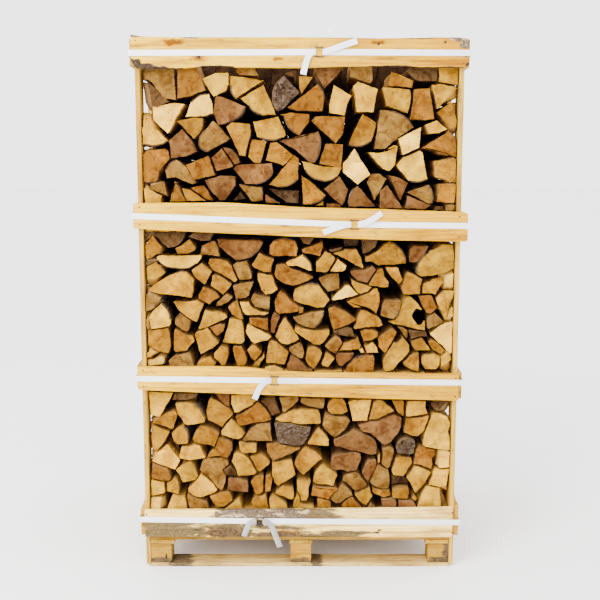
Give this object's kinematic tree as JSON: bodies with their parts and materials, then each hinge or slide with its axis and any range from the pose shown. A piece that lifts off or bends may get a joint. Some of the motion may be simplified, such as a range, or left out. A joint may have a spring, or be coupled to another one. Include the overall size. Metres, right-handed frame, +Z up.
{
  "type": "pallet of split ash firewood",
  "caption": "Tall open crate of pale boards on a pallet, filled with stacked split ash logs whose sawn ends face front and back, and bound round with white woven straps.",
  "frame": {"origin": "on the ground, at the centre of the underside of the pallet's middle skid", "axes": "+Z up along the crate's height, -Y towards the front where the buckles are, +X to the right seen from the front"},
  "size_m": [1.264, 1.0522, 2.0706],
  "materials": {
    "pallet_wood": "rough sawn pale softwood",
    "pale_board": "rough sawn pale board with some bark left on the edges",
    "split_ash": "dry sawn ends, split sides and grey-brown bark",
    "woven_strap": "white woven polyester",
    "galvanised_wire": "dull galvanised wire"
  },
  "bodies": {
    "root": {"skid_front": "pallet_wood", "skid_middle": "pallet_wood", "skid_back": "pallet_wood", "block_front_left": "pallet_wood", "block_front_centre": "pallet_wood", "block_front_right": "pallet_wood", "block_middle_left": "pallet_wood", "block_middle_centre": "pallet_wood", "block_middle_right": "pallet_wood", "block_back_left": "pallet_wood", "block_back_centre": "pallet_wood", "block_back_right": "pallet_wood", "rail_left": "pallet_wood", "rail_centre": "pallet_wood", "rail_right": "pallet_wood", "deck_board_1": "pallet_wood", "deck_board_2": "pallet_wood", "deck_board_3": "pallet_wood", "deck_board_4": "pallet_wood", "deck_board_5": "pallet_wood", "deck_board_6": "pallet_wood", "post_left_1": "pale_board", "post_left_2": "pale_board", "post_left_3": "pale_board", "post_left_4": "pale_board", "post_right_1": "pale_board", "post_right_2": "pale_board", "post_right_3": "pale_board", "post_right_4": "pale_board", "front_board_1": "pale_board", "front_board_2": "pale_board", "front_board_3": "pale_board", "front_board_4": "pale_board", "back_board_1": "pale_board", "back_board_2": "pale_board", "back_board_3": "pale_board", "back_board_4": "pale_board", "left_board_1": "pale_board", "left_board_2": "pale_board", "left_board_3": "pale_board", "left_board_4": "pale_board", "right_board_1": "pale_board", "right_board_2": "pale_board", "right_board_3": "pale_board", "right_board_4": "pale_board", "firewood_front_row": "split_ash", "firewood_middle_row": "split_ash", "firewood_back_row": "split_ash", "strap_1": "woven_strap", "strap_2": "woven_strap", "strap_3": "woven_strap", "strap_4": "woven_strap", "strap_end": "woven_strap", "buckle_1": "galvanised_wire", "buckle_2": "galvanised_wire", "buckle_3": "galvanised_wire", "buckle_4": "galvanised_wire"}
  },
  "joints": []
}
